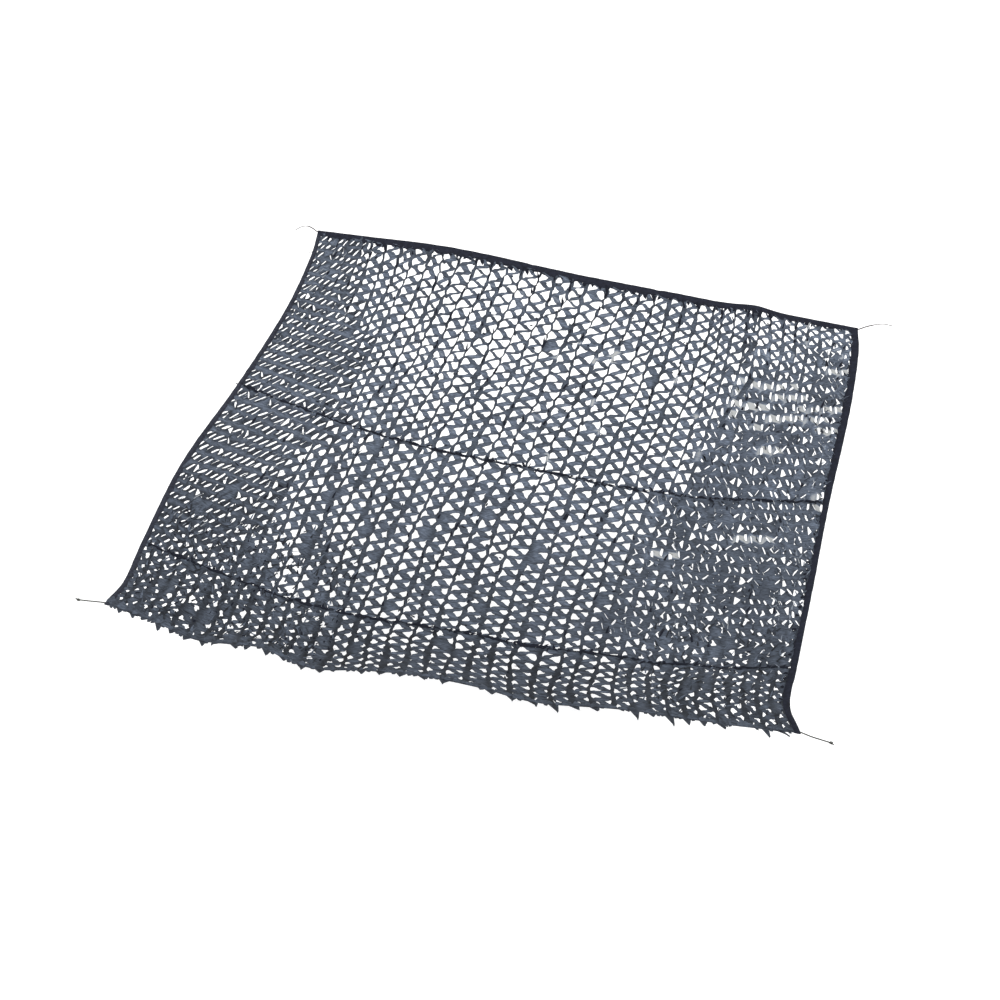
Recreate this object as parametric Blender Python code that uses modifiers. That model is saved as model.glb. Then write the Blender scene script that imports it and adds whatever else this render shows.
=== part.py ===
"""A shade sail of leaf-cut net: three widths of cloth, tape bindings on three edges
and a tie at each corner.

Metres, +Z up. The origin is the middle of the far edge, where the sail is held. +X runs along that
edge and -Y towards the near edge. The net hangs in a shallow belly below its four tied corners.
"""

import math

import bmesh
import bpy
from mathutils import Vector

# Driving sizes
CLOTH_LENGTH = 3.0
CLOTH_WIDTH = 3.0
CLOTH_THICKNESS = 0.002
BINDING_THICKNESS = 0.007
BINDING_ROUNDING = 0.0015
FAR_BINDING = 0.038
LEFT_BINDING = 0.024
RIGHT_BINDING = 0.038
PIECE_GAP = 0.0004
SEAM_GAP = 0.0006
TIE_DIAMETER = 0.004
KNOT_SWELL = 2.1

# The leaf-cut holes, at twice the pitch of the real net
LEAF_COLUMNS = 16
WIDE_END = 0.80
NARROW_END = 0.12
LEAF_REACH = 0.66
LEAF_LEAN = 0.05
FIRST_INSET = 0.2
TIPS_A_COLUMN = 3
TIP_LENGTHS = (0.030, 0.012, 0.042, 0.020, 0.034, 0.008, 0.026)
TIP_SLOPE = 0.35

# Each width of net: where it starts and ends, as shares of the length, and its rows of holes
WIDTHS = (
    ("panel_far", 0.0, 0.449, 9),
    ("panel_middle", 0.449, 0.847, 8),
    ("panel_near", 0.847, 1.0, 3),
)

# The hung outline and belly, a row for each section from the far edge to the near edge.
# down: share of the length. y and x: the finished edges. sag: depth below the corners at five places.
COLUMNS = (
    "down", "y_left", "y_mid", "y_right", "x_left", "x_right",
    "sag_left", "sag_quarter", "sag_mid", "sag_three", "sag_right",
)
SECTIONS = (
    (0.000, 0.000, 0.000, -0.010, -1.480, 1.500, -0.015, -0.055, -0.022, -0.012, 0.000),
    (0.070, -0.200, -0.196, -0.205, -1.460, 1.524, 0.020, 0.045, 0.085, 0.060, 0.020),
    (0.220, -0.650, -0.645, -0.650, -1.454, 1.525, 0.060, 0.175, 0.205, 0.180, 0.060),
    (0.449, -1.315, -1.310, -1.330, -1.490, 1.493, 0.075, 0.235, 0.268, 0.255, 0.105),
    (0.650, -1.925, -1.910, -1.910, -1.553, 1.477, 0.100, 0.258, 0.281, 0.243, 0.100),
    (0.847, -2.505, -2.506, -2.478, -1.528, 1.458, 0.097, 0.275, 0.256, 0.200, 0.082),
    (0.940, -2.820, -2.770, -2.745, -1.484, 1.451, 0.045, 0.222, 0.178, 0.133, 0.045),
    (1.000, -3.018, -2.936, -2.937, -1.486, 1.508, 0.000, 0.150, 0.105, 0.064, 0.000),
)

# Soft folds in the cloth: from and to, as shares across and down, then half width and height in metres
FOLDS = (
    ("gather_at_far_edge", 0.815, 0.020, 0.785, 0.210, 0.100, 0.026),
    ("trough_by_gather", 0.735, 0.050, 0.725, 0.260, 0.110, -0.016),
    ("pull_to_near_right", 0.990, 0.990, 0.830, 0.860, 0.110, 0.016),
    ("pull_to_near_left", 0.010, 0.990, 0.150, 0.880, 0.110, 0.014),
    ("slack_by_near_right", 0.800, 0.860, 0.900, 0.830, 0.170, -0.042),
    ("drop_in_near_edge", 0.310, 1.020, 0.320, 0.930, 0.150, -0.032),
    ("lift_in_near_edge", 0.225, 1.020, 0.225, 0.965, 0.105, 0.040),
    ("drop_by_near_left", 0.120, 1.030, 0.130, 0.960, 0.120, -0.030),
    ("drop_right_of_middle", 0.630, 1.020, 0.630, 0.930, 0.260, -0.055),
    ("sag_by_far_left", 0.120, 0.080, 0.200, 0.320, 0.200, -0.012),
)

# Ties: the corner that each leaves, how its free end is finished, and its route as steps from its seat
TIES = (
    (
        "tie_far_left", "far_left", "bare",
        ((-0.0009, 0.000, 0.000), (-0.010, 0.001, 0.002), (-0.032, 0.006, 0.012), (-0.062, 0.010, 0.018),
         (-0.096, 0.004, 0.011), (-0.128, -0.012, -0.007)),
    ),
    (
        "tie_far_right", "far_right", "bare",
        ((0.0007, 0.000, 0.000), (0.010, 0.003, 0.003), (0.040, 0.021, 0.011), (0.088, 0.041, 0.021),
         (0.133, 0.053, 0.025), (0.182, 0.058, 0.019)),
    ),
    (
        "tie_near_left", "near_left", "knot",
        ((-0.0007, 0.000, 0.000), (-0.012, -0.002, 0.001), (-0.037, -0.010, 0.006), (-0.072, -0.022, 0.013),
         (-0.110, -0.034, 0.021)),
    ),
    (
        "tie_near_right", "near_right", "knot",
        ((0.0014, 0.000, 0.000), (0.014, -0.004, 0.001), (0.046, -0.017, 0.006), (0.090, -0.030, 0.013),
         (0.134, -0.042, 0.020)),
    ),
)
# How far along its binding's end each tie is seated, from the corner
FAR_SEAT = 0.30
NEAR_SEAT = 0.07

SLATE = (0.125, 0.145, 0.175, 1.0)
NAVY = (0.022, 0.026, 0.042, 1.0)
CORD_GREY = (0.180, 0.175, 0.160, 1.0)


def smooth(stations, values, t):
    """The value at t on a smooth curve through the values at the stations, straight on past the ends."""
    last = len(stations) - 1
    held = min(max(t, stations[0]), stations[-1])
    i = max(k for k in range(last) if k == 0 or stations[k] <= held)

    def slope(k):
        before = max(k - 1, 0)
        after = min(k + 1, last)
        return (values[after] - values[before]) / (stations[after] - stations[before])

    span = stations[i + 1] - stations[i]
    s = (held - stations[i]) / span
    value = (1 + 2 * s) * (1 - s) ** 2 * values[i] + s * s * (3 - 2 * s) * values[i + 1]
    value += s * (1 - s) ** 2 * span * slope(i) - s * s * (1 - s) * span * slope(i + 1)
    return value + (t - held) * slope(0 if t < held else last)


def section(down):
    """Every column of the section table at one share of the length."""
    stations = [row[0] for row in SECTIONS]
    return {
        name: smooth(stations, [row[k] for row in SECTIONS], down)
        for k, name in enumerate(COLUMNS)
    }


def fold_height(across, down):
    """How far the soft folds lift the cloth at a place."""
    height = 0.0
    for _name, across_0, down_0, across_1, down_1, half_width, rise in FOLDS:
        start = Vector((across_0 * CLOTH_WIDTH, down_0 * CLOTH_LENGTH))
        run = Vector((across_1 * CLOTH_WIDTH, down_1 * CLOTH_LENGTH)) - start
        here = Vector((across * CLOTH_WIDTH, down * CLOTH_LENGTH)) - start
        along = min(max(here.dot(run) / run.length_squared, 0.0), 1.0)
        height += rise * math.exp(-(((here - run * along).length / half_width) ** 2))
    return height


def hung(across, down):
    """The place of the hung cloth, from share across (left to right) and share down (far to near)."""
    row = section(down)
    x = row["x_left"] + (row["x_right"] - row["x_left"]) * across
    y = smooth((0, 0.5, 1), (row["y_left"], row["y_mid"], row["y_right"]), across)
    sags = (row["sag_left"], row["sag_quarter"], row["sag_mid"], row["sag_three"], row["sag_right"])
    sag = smooth((0, 0.25, 0.5, 0.75, 1), sags, across)
    return Vector((x, y, fold_height(across, down) - sag))


def opening_of(across, down):
    """How far the leaf cuts are pulled open: most in the far middle, least along the side edges."""
    middle = math.exp(-(((across - 0.42) / 0.30) ** 2) - ((down - 0.15) / 0.55) ** 2)
    return 0.52 + 0.48 * middle


def is_cut(column, row):
    """Every cell is cut, but for every other one down the two tight side columns."""
    return column not in (0, LEAF_COLUMNS - 1) or row % 2 == 1


def shape_leaf(face, rows, opening, points_right):
    """Moves a cell's inset face into a leaf-shaped hole: wide at the spine, narrow at its point."""
    centre = face.calc_center_median()
    for vert in face.verts:
        right = vert.co.x > centre.x
        far = vert.co.y > centre.y
        end = NARROW_END if right == points_right else WIDE_END
        reach = LEAF_REACH * opening * (0.5 if right else -0.5) + LEAF_LEAN * (1 if far else -1)
        vert.co.x = centre.x + reach / LEAF_COLUMNS
        vert.co.y = centre.y + end * (0.5 if far else -0.5) / rows


def cut_leaves(mesh, rows, down_of):
    """Opens one leaf-shaped hole in each cell of the flat grid, pointing right and left by turns."""
    chosen = []
    for face in mesh.faces:
        centre = face.calc_center_median()
        column = int((centre.x + 0.5) * LEAF_COLUMNS)
        row = int((0.5 - centre.y) * rows)
        if is_cut(column, row):
            chosen.append((face, column, row))
    faces = [face for face, _column, _row in chosen]
    bmesh.ops.inset_individual(mesh, faces=faces, thickness=FIRST_INSET / LEAF_COLUMNS)
    for face, column, row in chosen:
        centre = face.calc_center_median()
        opening = opening_of(centre.x + 0.5, down_of(centre.y))
        shape_leaf(face, rows, opening, (column + row) % 2 == 0)
    bmesh.ops.delete(mesh, geom=faces, context="FACES")


def fray_near_edge(mesh):
    """Splits the grid's near edge and returns its points that become hanging tips, with their lengths."""
    near = [e for e in mesh.edges if all(abs(v.co.y + 0.5) < 1e-4 for v in e.verts)]
    bmesh.ops.subdivide_edges(mesh, edges=near, cuts=2 * TIPS_A_COLUMN - 1)
    tips = {}
    steps = 2 * TIPS_A_COLUMN * LEAF_COLUMNS
    for vert in mesh.verts:
        step = round((vert.co.x + 0.5) * steps)
        if abs(vert.co.y + 0.5) < 1e-4 and step % 2 == 1:
            tips[vert] = TIP_LENGTHS[step // 2 % len(TIP_LENGTHS)]
    return tips


def material(name, colour, roughness):
    made = bpy.data.materials.new(name)
    made.use_nodes = True
    shader = made.node_tree.nodes["Principled BSDF"]
    shader.inputs["Base Color"].default_value = colour
    shader.inputs["Roughness"].default_value = roughness
    shader.inputs["Metallic"].default_value = 0.0
    return made


def add_sheet(name, mesh, thickness, finish, collection):
    """Turns an open bmesh surface into an object of the given thickness."""
    data = bpy.data.meshes.new(name)
    bmesh.ops.recalc_face_normals(mesh, faces=mesh.faces)
    if sum(face.normal.z for face in mesh.faces) < 0:
        bmesh.ops.reverse_faces(mesh, faces=mesh.faces)
    mesh.to_mesh(data)
    mesh.free()
    made = bpy.data.objects.new(name, data)
    collection.objects.link(made)
    data.materials.append(finish)
    solid = made.modifiers.new("thickness", "SOLIDIFY")
    solid.thickness = thickness
    solid.offset = 0.0
    return made


def across_stations():
    """The shares across where the net's columns of holes begin and end, between the side bindings."""
    start = (LEFT_BINDING + PIECE_GAP) / CLOTH_WIDTH
    end = 1 - (RIGHT_BINDING + PIECE_GAP) / CLOTH_WIDTH
    return [start + (end - start) * k / LEAF_COLUMNS for k in range(LEAF_COLUMNS + 1)]


def down_stations(start, end, rows):
    """The shares down where one width's rows of holes begin and end, clear of its seams and the binding."""
    seam = SEAM_GAP / 2 / CLOTH_LENGTH
    first = start + seam if start > 0 else (FAR_BINDING + PIECE_GAP) / CLOTH_LENGTH
    last = end - seam if end < 1 else 1.0
    return [first + (last - first) * k / rows for k in range(rows + 1)]


def flat_grid(columns, rows):
    mesh = bmesh.new()
    bmesh.ops.create_grid(mesh, x_segments=columns, y_segments=rows, size=0.5)
    return mesh


def between(stations, share):
    """The station at a share of the way along the list, straight between neighbours."""
    place = min(max(share, 0.0), 1.0) * (len(stations) - 1)
    k = min(int(place + 1e-6), len(stations) - 2)
    return stations[k] + (stations[k + 1] - stations[k]) * (place - k)


def hang(mesh, across, down, tips=()):
    """Moves a flat grid's points to the hung cloth, and its tips to where they hang."""
    for vert in mesh.verts:
        place = hung(between(across, vert.co.x + 0.5), between(down, 0.5 - vert.co.y))
        if vert in tips:
            place += Vector((0, -TIP_SLOPE, -1)).normalized() * tips[vert]
        vert.co = place


def add_panel(name, down, finish, collection):
    """One width of net, from one seam to the next."""
    rows = len(down) - 1
    mesh = flat_grid(LEAF_COLUMNS, rows)
    cut_leaves(mesh, rows, lambda flat_y: between(down, 0.5 - flat_y))
    tips = fray_near_edge(mesh) if down[-1] == 1 else {}
    hang(mesh, across_stations(), down, tips)
    return add_sheet(name, mesh, CLOTH_THICKNESS, finish, collection)


def add_binding(name, across, down, finish, collection):
    """A binding of folded tape: a strip through the given stations across and down."""
    mesh = flat_grid(len(across) - 1, len(down) - 1)
    hang(mesh, across, down)
    made = add_sheet(name, mesh, BINDING_THICKNESS, finish, collection)
    rounded = made.modifiers.new("rounded_edges", "BEVEL")
    rounded.width = BINDING_ROUNDING
    rounded.segments = 1
    rounded.limit_method = "ANGLE"
    return made


def smooth_route(points, spacing):
    """Points a spacing apart on a smooth curve through the route's own points."""
    stations = [0.0]
    for before, after in zip(points, points[1:]):
        stations.append(stations[-1] + (Vector(after) - Vector(before)).length)
    steps = max(round(stations[-1] / spacing), 2)
    places = [stations[-1] * k / steps for k in range(steps + 1)]
    return [
        Vector([smooth(stations, [point[axis] for point in points], place) for axis in range(3)])
        for place in places
    ]


def corner_seats(side_stations):
    """Where each tie leaves its binding: on the binding's outer face, just in from the corner."""
    seats = {}
    for side, across in (("left", 0), ("right", 1)):
        far_inner = hung(across, FAR_BINDING / CLOTH_LENGTH)
        near_inner = hung(across, side_stations[-2])
        seats["far_" + side] = hung(across, 0).lerp(far_inner, FAR_SEAT)
        seats["near_" + side] = hung(across, 1).lerp(near_inner, NEAR_SEAT)
    return seats


def add_tie(name, end, points, finish, collection):
    """One cord, with a swelling for the knot where its end has one."""
    route = smooth_route(points, 3 * TIE_DIAMETER)
    data = bpy.data.curves.new(name, "CURVE")
    data.dimensions = "3D"
    data.bevel_depth = TIE_DIAMETER / 2
    data.bevel_resolution = 2
    data.use_fill_caps = True
    spline = data.splines.new("POLY")
    spline.points.add(len(route) - 1)
    for point, place in zip(spline.points, route):
        point.co = (*place, 1.0)
    if end == "knot":
        spline.points[-2].radius = KNOT_SWELL
        spline.points[-1].radius = 1.2
    data.materials.append(finish)
    made = bpy.data.objects.new(name, data)
    collection.objects.link(made)
    return made


def main():
    for old in list(bpy.data.objects):
        bpy.data.objects.remove(old, do_unlink=True)
    collection = bpy.data.collections.new("shade_sail")
    bpy.context.scene.collection.children.link(collection)
    net = material("net_cloth", SLATE, 0.85)
    tape = material("binding_tape", NAVY, 0.80)
    cord = material("tie_cord", CORD_GREY, 0.75)

    side_stations = []
    for name, start, end, rows in WIDTHS:
        down = down_stations(start, end, rows)
        add_panel(name, down, net, collection)
        side_stations += down

    left = (0, LEFT_BINDING / CLOTH_WIDTH)
    right = (1 - RIGHT_BINDING / CLOTH_WIDTH, 1)
    far_across = [0, *across_stations(), 1]
    add_binding("binding_far", far_across, (0, FAR_BINDING / CLOTH_LENGTH), tape, collection)
    add_binding("binding_left", left, side_stations, tape, collection)
    add_binding("binding_right", right, side_stations, tape, collection)

    seats = corner_seats(side_stations)
    for name, corner, end, steps in TIES:
        add_tie(name, end, [seats[corner] + Vector(step) for step in steps], cord, collection)


main()
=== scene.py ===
"""The looks of the leaf-cut shade sail: its real net, seams, bindings and ties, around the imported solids."""

import random
from math import copysign, cos, exp, pi, radians, sin

import bmesh
import bpy
import numpy as np
from mathutils import Euler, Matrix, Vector, noise
from numpy.linalg import norm


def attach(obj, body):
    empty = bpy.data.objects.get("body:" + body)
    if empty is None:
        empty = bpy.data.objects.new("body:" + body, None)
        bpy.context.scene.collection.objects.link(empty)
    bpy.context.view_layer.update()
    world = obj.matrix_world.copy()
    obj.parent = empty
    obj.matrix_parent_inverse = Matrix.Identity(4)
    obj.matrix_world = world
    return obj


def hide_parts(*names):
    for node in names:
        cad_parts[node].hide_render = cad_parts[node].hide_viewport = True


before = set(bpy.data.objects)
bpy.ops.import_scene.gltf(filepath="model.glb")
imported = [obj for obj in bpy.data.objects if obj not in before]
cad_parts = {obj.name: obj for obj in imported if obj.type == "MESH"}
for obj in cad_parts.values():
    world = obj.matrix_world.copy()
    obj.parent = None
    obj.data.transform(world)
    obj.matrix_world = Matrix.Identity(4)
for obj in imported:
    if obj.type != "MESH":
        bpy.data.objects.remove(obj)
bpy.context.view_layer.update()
scene = bpy.context.scene

# ---- the source's own sizes and tables
CLOTH = 3.0
FAR_BINDING = 0.038
LEFT_BINDING = 0.024
RIGHT_BINDING = 0.038
BINDING_THICKNESS = 0.007
SECTIONS = (
    # down, y_left, y_mid, y_right, x_left, x_right, sag at five places from left to right
    (0.000, 0.000, 0.000, -0.010, -1.480, 1.500, -0.015, -0.055, -0.022, -0.012, 0.000),
    (0.070, -0.200, -0.196, -0.205, -1.460, 1.524, 0.020, 0.045, 0.085, 0.060, 0.020),
    (0.220, -0.650, -0.645, -0.650, -1.454, 1.525, 0.060, 0.175, 0.205, 0.180, 0.060),
    (0.449, -1.315, -1.310, -1.330, -1.490, 1.493, 0.075, 0.235, 0.268, 0.255, 0.105),
    (0.650, -1.925, -1.910, -1.910, -1.553, 1.477, 0.100, 0.258, 0.281, 0.243, 0.100),
    (0.847, -2.505, -2.506, -2.478, -1.528, 1.458, 0.097, 0.275, 0.256, 0.200, 0.082),
    (0.940, -2.820, -2.770, -2.745, -1.484, 1.451, 0.045, 0.222, 0.178, 0.133, 0.045),
    (1.000, -3.018, -2.936, -2.937, -1.486, 1.508, 0.000, 0.150, 0.105, 0.064, 0.000),
)
FOLDS = (
    # across_0, down_0, across_1, down_1, half_width, rise
    (0.815, 0.020, 0.785, 0.210, 0.100, 0.026),
    (0.735, 0.050, 0.725, 0.260, 0.110, -0.016),
    (0.990, 0.990, 0.830, 0.860, 0.110, 0.016),
    (0.010, 0.990, 0.150, 0.880, 0.110, 0.014),
    (0.800, 0.860, 0.900, 0.830, 0.170, -0.042),
    (0.310, 1.020, 0.320, 0.930, 0.150, -0.032),
    (0.225, 1.020, 0.225, 0.965, 0.105, 0.040),
    (0.120, 1.030, 0.130, 0.960, 0.120, -0.030),
    (0.630, 1.020, 0.630, 0.930, 0.260, -0.055),
    (0.120, 0.080, 0.200, 0.320, 0.200, -0.012),
)
TIES = (
    # tie, how it lies, its seat on the binding, and its route as steps from there
    ("tie_far_left", "loose", (-1.4786, -0.0108, 0.0129),
     ((-0.0009, 0.0, 0.0), (-0.01, 0.001, 0.002), (-0.032, 0.006, 0.012), (-0.062, 0.01, 0.018),
      (-0.096, 0.004, 0.011), (-0.128, -0.012, -0.007))),
    ("tie_far_right", "loose", (1.5007, -0.0205, -0.0011),
     ((0.0007, 0.0, 0.0), (0.01, 0.003, 0.003), (0.04, 0.021, 0.011), (0.088, 0.041, 0.021),
      (0.133, 0.053, 0.025), (0.182, 0.058, 0.019))),
    ("tie_near_left", "taut", (-1.4853, -3.0063, 0.0088),
     ((-0.0007, 0.0, 0.0), (-0.012, -0.002, 0.001), (-0.037, -0.01, 0.006), (-0.072, -0.022, 0.013),
      (-0.11, -0.034, 0.021))),
    ("tie_near_right", "taut", (1.5031, -2.9252, 0.0107),
     ((0.0014, 0.0, 0.0), (0.014, -0.004, 0.001), (0.046, -0.017, 0.006), (0.09, -0.03, 0.013),
      (0.134, -0.042, 0.02))),
)


def smooth(stations, values, t):
    """Values at each t on a smooth curve through the values at the stations, straight on past the ends."""
    stations = np.asarray(stations, float)
    t = np.asarray(t, float)
    values = np.asarray(values, float)
    if values.ndim == 1:
        values = np.repeat(values[:, None], t.size, 1)
    last = len(stations) - 1
    held = np.clip(t, stations[0], stations[-1])
    i = np.clip(np.searchsorted(stations, held, side="right") - 1, 0, last - 1)
    column = np.arange(t.size)
    slopes = np.empty_like(values)
    for k in range(last + 1):
        before, after = max(k - 1, 0), min(k + 1, last)
        slopes[k] = (values[after] - values[before]) / (stations[after] - stations[before])
    span = stations[i + 1] - stations[i]
    s = (held - stations[i]) / span
    value = (1 + 2 * s) * (1 - s) ** 2 * values[i, column] + s * s * (3 - 2 * s) * values[i + 1, column]
    value += s * (1 - s) ** 2 * span * slopes[i, column] - s * s * (1 - s) * span * slopes[i + 1, column]
    return value + (t - held) * np.where(t < held, slopes[0], slopes[last])


def hung(across, down):
    """The places of the hung cloth, from shares across (left to right) and down (far to near)."""
    across = np.atleast_1d(np.asarray(across, float))
    down = np.atleast_1d(np.asarray(down, float))
    stations = [row[0] for row in SECTIONS]
    row = [smooth(stations, [r[k] for r in SECTIONS], down) for k in range(1, 11)]
    x = row[3] + (row[4] - row[3]) * across
    y = smooth((0, 0.5, 1), np.array(row[0:3]), across)
    z = -smooth((0, 0.25, 0.5, 0.75, 1), np.array(row[5:10]), across)
    for across_0, down_0, across_1, down_1, half_width, rise in FOLDS:
        start = np.array((across_0, down_0)) * CLOTH
        run = np.array((across_1, down_1)) * CLOTH - start
        here = np.stack((across, down), 1) * CLOTH - start
        along = np.clip(here @ run / (run @ run), 0, 1)
        gap = norm(here - along[:, None] * run, axis=1)
        z += rise * np.exp(-((gap / half_width) ** 2))
    return np.stack((x, y, z), 1)


def on_cloth(flat, lift):
    """Where flat points, in metres from the far left corner, lie on the hung cloth, lifted off it."""
    across, down = np.array(flat).T / CLOTH * ((1,), (-1,))
    step = 0.004
    here = hung(across, down)
    side = hung(across + step, down) - here
    back = here - hung(across, down + step)
    normal = np.cross(side, back)
    normal /= norm(normal, axis=1)[:, None]
    return here + normal * np.asarray(lift)[:, None]


def placed(name, data):
    """A new object in the scene."""
    made = bpy.data.objects.new(name, data)
    scene.collection.objects.link(made)
    return made


def mesh_object(name, points, faces, material):
    data = bpy.data.meshes.new(name)
    data.from_pydata(points, [], faces)
    data.materials.append(material)
    return placed(name, data)


def tube_faces(first, rings, sides):
    """Faces of a closed tube through rings of points, numbered one ring after another from the first."""
    faces = []
    end = first + (rings - 1) * sides
    for start in range(first, end, sides):
        for i in range(sides):
            a, b = start + i, start + (i + 1) % sides
            faces.append((a, b, b + sides, a + sides))
    return faces + [tuple(range(first, first + sides))[::-1], tuple(range(end, end + sides))]


def shade_smooth(data, sharp=None):
    """Smooth shading, with edges kept sharp where they turn by more than that many degrees."""
    data.polygons.foreach_set("use_smooth", [True] * len(data.polygons))
    if sharp is not None:
        data.set_sharp_from_angle(angle=radians(sharp))


def add_cloth_data(data, flat, tone):
    """What the cloth's material reads at each point: its place on the flat sail and its lightness, which
    carries painted light and shade.
    """
    layer = data.attributes.new("flat", "FLOAT_VECTOR", "POINT")
    places = np.column_stack((flat, np.zeros(len(flat))))
    layer.data.foreach_set("vector", places.astype(np.float32).ravel())
    layer = data.attributes.new("tone", "FLOAT", "POINT")
    layer.data.foreach_set("value", np.resize(np.array(tone, np.float32), len(flat)))


# ---- camera
view = bpy.data.cameras.new("camera")
view.lens = 64.8
view.sensor_width = 36.0
view.clip_end = 200
camera = placed("camera", view)
camera.location = (1.1565, -8.0035, 5.5676)
camera.rotation_euler = Euler([radians(a) for a in (48.199, -2.803, 13.255)], "XYZ")
scene.camera = camera


# ---- materials
def nodes_of(name, colour, roughness, gloss=0.5):
    made = bpy.data.materials.new(name)
    made.use_nodes = True
    shader = made.node_tree.nodes["Principled BSDF"]
    shader.inputs["Base Color"].default_value = (*colour, 1)
    shader.inputs["Roughness"].default_value = roughness
    shader.inputs["Specular IOR Level"].default_value = gloss
    return made, made.node_tree, shader


def node(tree, kind, **values):
    made = tree.nodes.new("ShaderNode" + kind)
    for key, value in values.items():
        if key.startswith("in_"):
            made.inputs[key[3:].replace("_", " ")].default_value = value
        else:
            setattr(made, key, value)
    return made


def textured(tree, kind, place, **values):
    """A node that reads its place from another's output."""
    made = node(tree, kind, **values)
    tree.links.new(place, made.inputs["Vector"])
    return made


def stretched(tree, value, from_min, from_max, to_min, to_max):
    """A value with one range spread over another."""
    made = node(tree, "MapRange", in_From_Min=from_min, in_From_Max=from_max, in_To_Min=to_min,
                in_To_Max=to_max)
    tree.links.new(value, made.inputs["Value"])
    return made.outputs["Result"]


def product(tree, one, two):
    made = node(tree, "Math", operation="MULTIPLY")
    tree.links.new(one, made.inputs[0])
    tree.links.new(two, made.inputs[1])
    return made.outputs["Value"]


def scaled(tree, colour, factor):
    """A colour made lighter or darker by a factor."""
    base = node(tree, "RGB")
    base.outputs[0].default_value = (*colour, 1)
    made = node(tree, "VectorMath", operation="SCALE")
    tree.links.new(base.outputs[0], made.inputs[0])
    tree.links.new(factor, made.inputs["Scale"])
    return made.outputs["Vector"]


def cloth_material():
    made, tree, shader = nodes_of("leaf_cloth", (0.11, 0.125, 0.15), 0.8, 0.3)
    shader.inputs["Sheen Weight"].default_value = 0.04
    shader.inputs["Sheen Roughness"].default_value = 0.5
    link = tree.links.new
    flat = node(tree, "Attribute", attribute_name="flat").outputs["Vector"]
    tone = node(tree, "Attribute", attribute_name="tone").outputs["Fac"]
    # plain weave: threads both ways
    weave = product(tree, *(
        textured(tree, "TexWave", flat, bands_direction=direction, in_Scale=260.0,
                 in_Distortion=0.6, in_Detail=1.0).outputs["Fac"] for direction in ("X", "Y")))
    clouds = textured(tree, "TexNoise", flat, in_Scale=9.0, in_Detail=4.0)
    # streaks that run down to the right
    slanted = textured(tree, "Mapping", flat, in_Rotation=(0, 0, radians(52)), in_Scale=(0.45, 1.6, 1))
    mottle = textured(tree, "TexNoise", slanted.outputs["Vector"], in_Scale=95.0, in_Detail=5.0)
    cloudy = stretched(tree, clouds.outputs["Fac"], 0.0, 1.0, 0.78, 1.22)
    threads = stretched(tree, weave, 0.0, 1.0, 0.9, 1.1)
    patches = stretched(tree, mottle.outputs["Fac"], 0.32, 0.68, 0.52, 1.48)
    strength = product(tree, product(tree, cloudy, tone), product(tree, threads, patches))
    # tones above 1.35 turn toward pale grey: painted highlight where strips catch the light
    painted_highlight_share = stretched(tree, tone, 1.35, 2.1, 0.0, 1.0)
    mixed = node(tree, "Mix", data_type="RGBA", in_B=(0.44, 0.45, 0.45, 1))
    link(painted_highlight_share, mixed.inputs["Factor"])
    link(scaled(tree, (0.098, 0.119, 0.158), strength), mixed.inputs["A"])
    link(mixed.outputs["Result"], shader.inputs["Base Color"])
    bump = node(tree, "Bump", in_Strength=0.25, in_Distance=0.0003)
    link(weave, bump.inputs["Height"])
    link(bump.outputs["Normal"], shader.inputs["Normal"])
    return made


def clouded_material(name, colour, grain, darkest, gloss):
    """A rough material whose colour varies in clouds: how fine they are, and how dark they get."""
    made, tree, shader = nodes_of(name, colour, 0.85, gloss)
    place = node(tree, "TexCoord").outputs["Object"]
    clouds = textured(tree, "TexNoise", place, in_Scale=grain, in_Detail=3.0)
    tint = stretched(tree, clouds.outputs["Fac"], 0.3, 0.7, darkest, 1.5)
    tree.links.new(scaled(tree, colour, tint), shader.inputs["Base Color"])
    return made


# ---- the net
ACROSS = (0.0, 0.06, 0.12, 0.18, 0.26, 0.39, 0.55, 0.70, 0.80, 0.90, 1.0)
# metres from spine to spine
PITCHES = (0.052, 0.057, 0.063, 0.070, 0.080, 0.091, 0.097, 0.088, 0.075, 0.064, 0.058)
# Each table below has a row for each of its shares down, with a value at each share of ACROSS.
# 0 where the leaf cuts stand open, 1 where they are closed to slits
TIGHT = (
    (0.0, (0.6, 0.6, 0.1, 0.0, 0.0, 0.0, 0.0, 0.0, 0.1, 0.2, 0.4)),
    (0.09, (1.0, 1.0, 0.1, 0.0, 0.0, 0.0, 0.0, 0.05, 0.3, 0.5, 0.7)),
    (0.25, (1.0, 1.0, 0.75, 0.15, 0.0, 0.0, 0.0, 0.25, 0.55, 0.7, 0.8)),
    (0.45, (1.0, 1.0, 0.9, 0.45, 0.15, 0.05, 0.05, 0.38, 0.7, 0.8, 0.8)),
    (0.62, (1.0, 1.0, 0.6, 0.35, 0.2, 0.1, 0.15, 0.45, 0.7, 0.8, 0.8)),
    (0.78, (0.9, 0.8, 0.6, 0.4, 0.25, 0.1, 0.15, 0.45, 0.6, 0.7, 0.7)),
    (0.9, (0.3, 0.3, 0.3, 0.2, 0.1, 0.05, 0.05, 0.15, 0.3, 0.3, 0.3)),
)
# How far the leaves of one column stand below the next column's, in rows
STAGGER = (
    (0.0, (0.1, 0.1, 0.2, 0.4, 0.5, 0.5, 0.5, 0.5, 0.5, 0.5, 0.5)),
    (0.25, (0.04, 0.05, 0.1, 0.3, 0.48, 0.5, 0.5, 0.58, 0.8, 0.9, 0.92)),
    (0.45, (0.04, 0.05, 0.08, 0.15, 0.36, 0.5, 0.55, 0.62, 0.85, 0.9, 0.92)),
    (0.7, (0.04, 0.06, 0.1, 0.2, 0.32, 0.48, 0.6, 0.64, 0.82, 0.88, 0.9)),
    (0.86, (0.4, 0.4, 0.45, 0.5, 0.5, 0.5, 0.5, 0.5, 0.55, 0.6, 0.6)),
)
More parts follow.
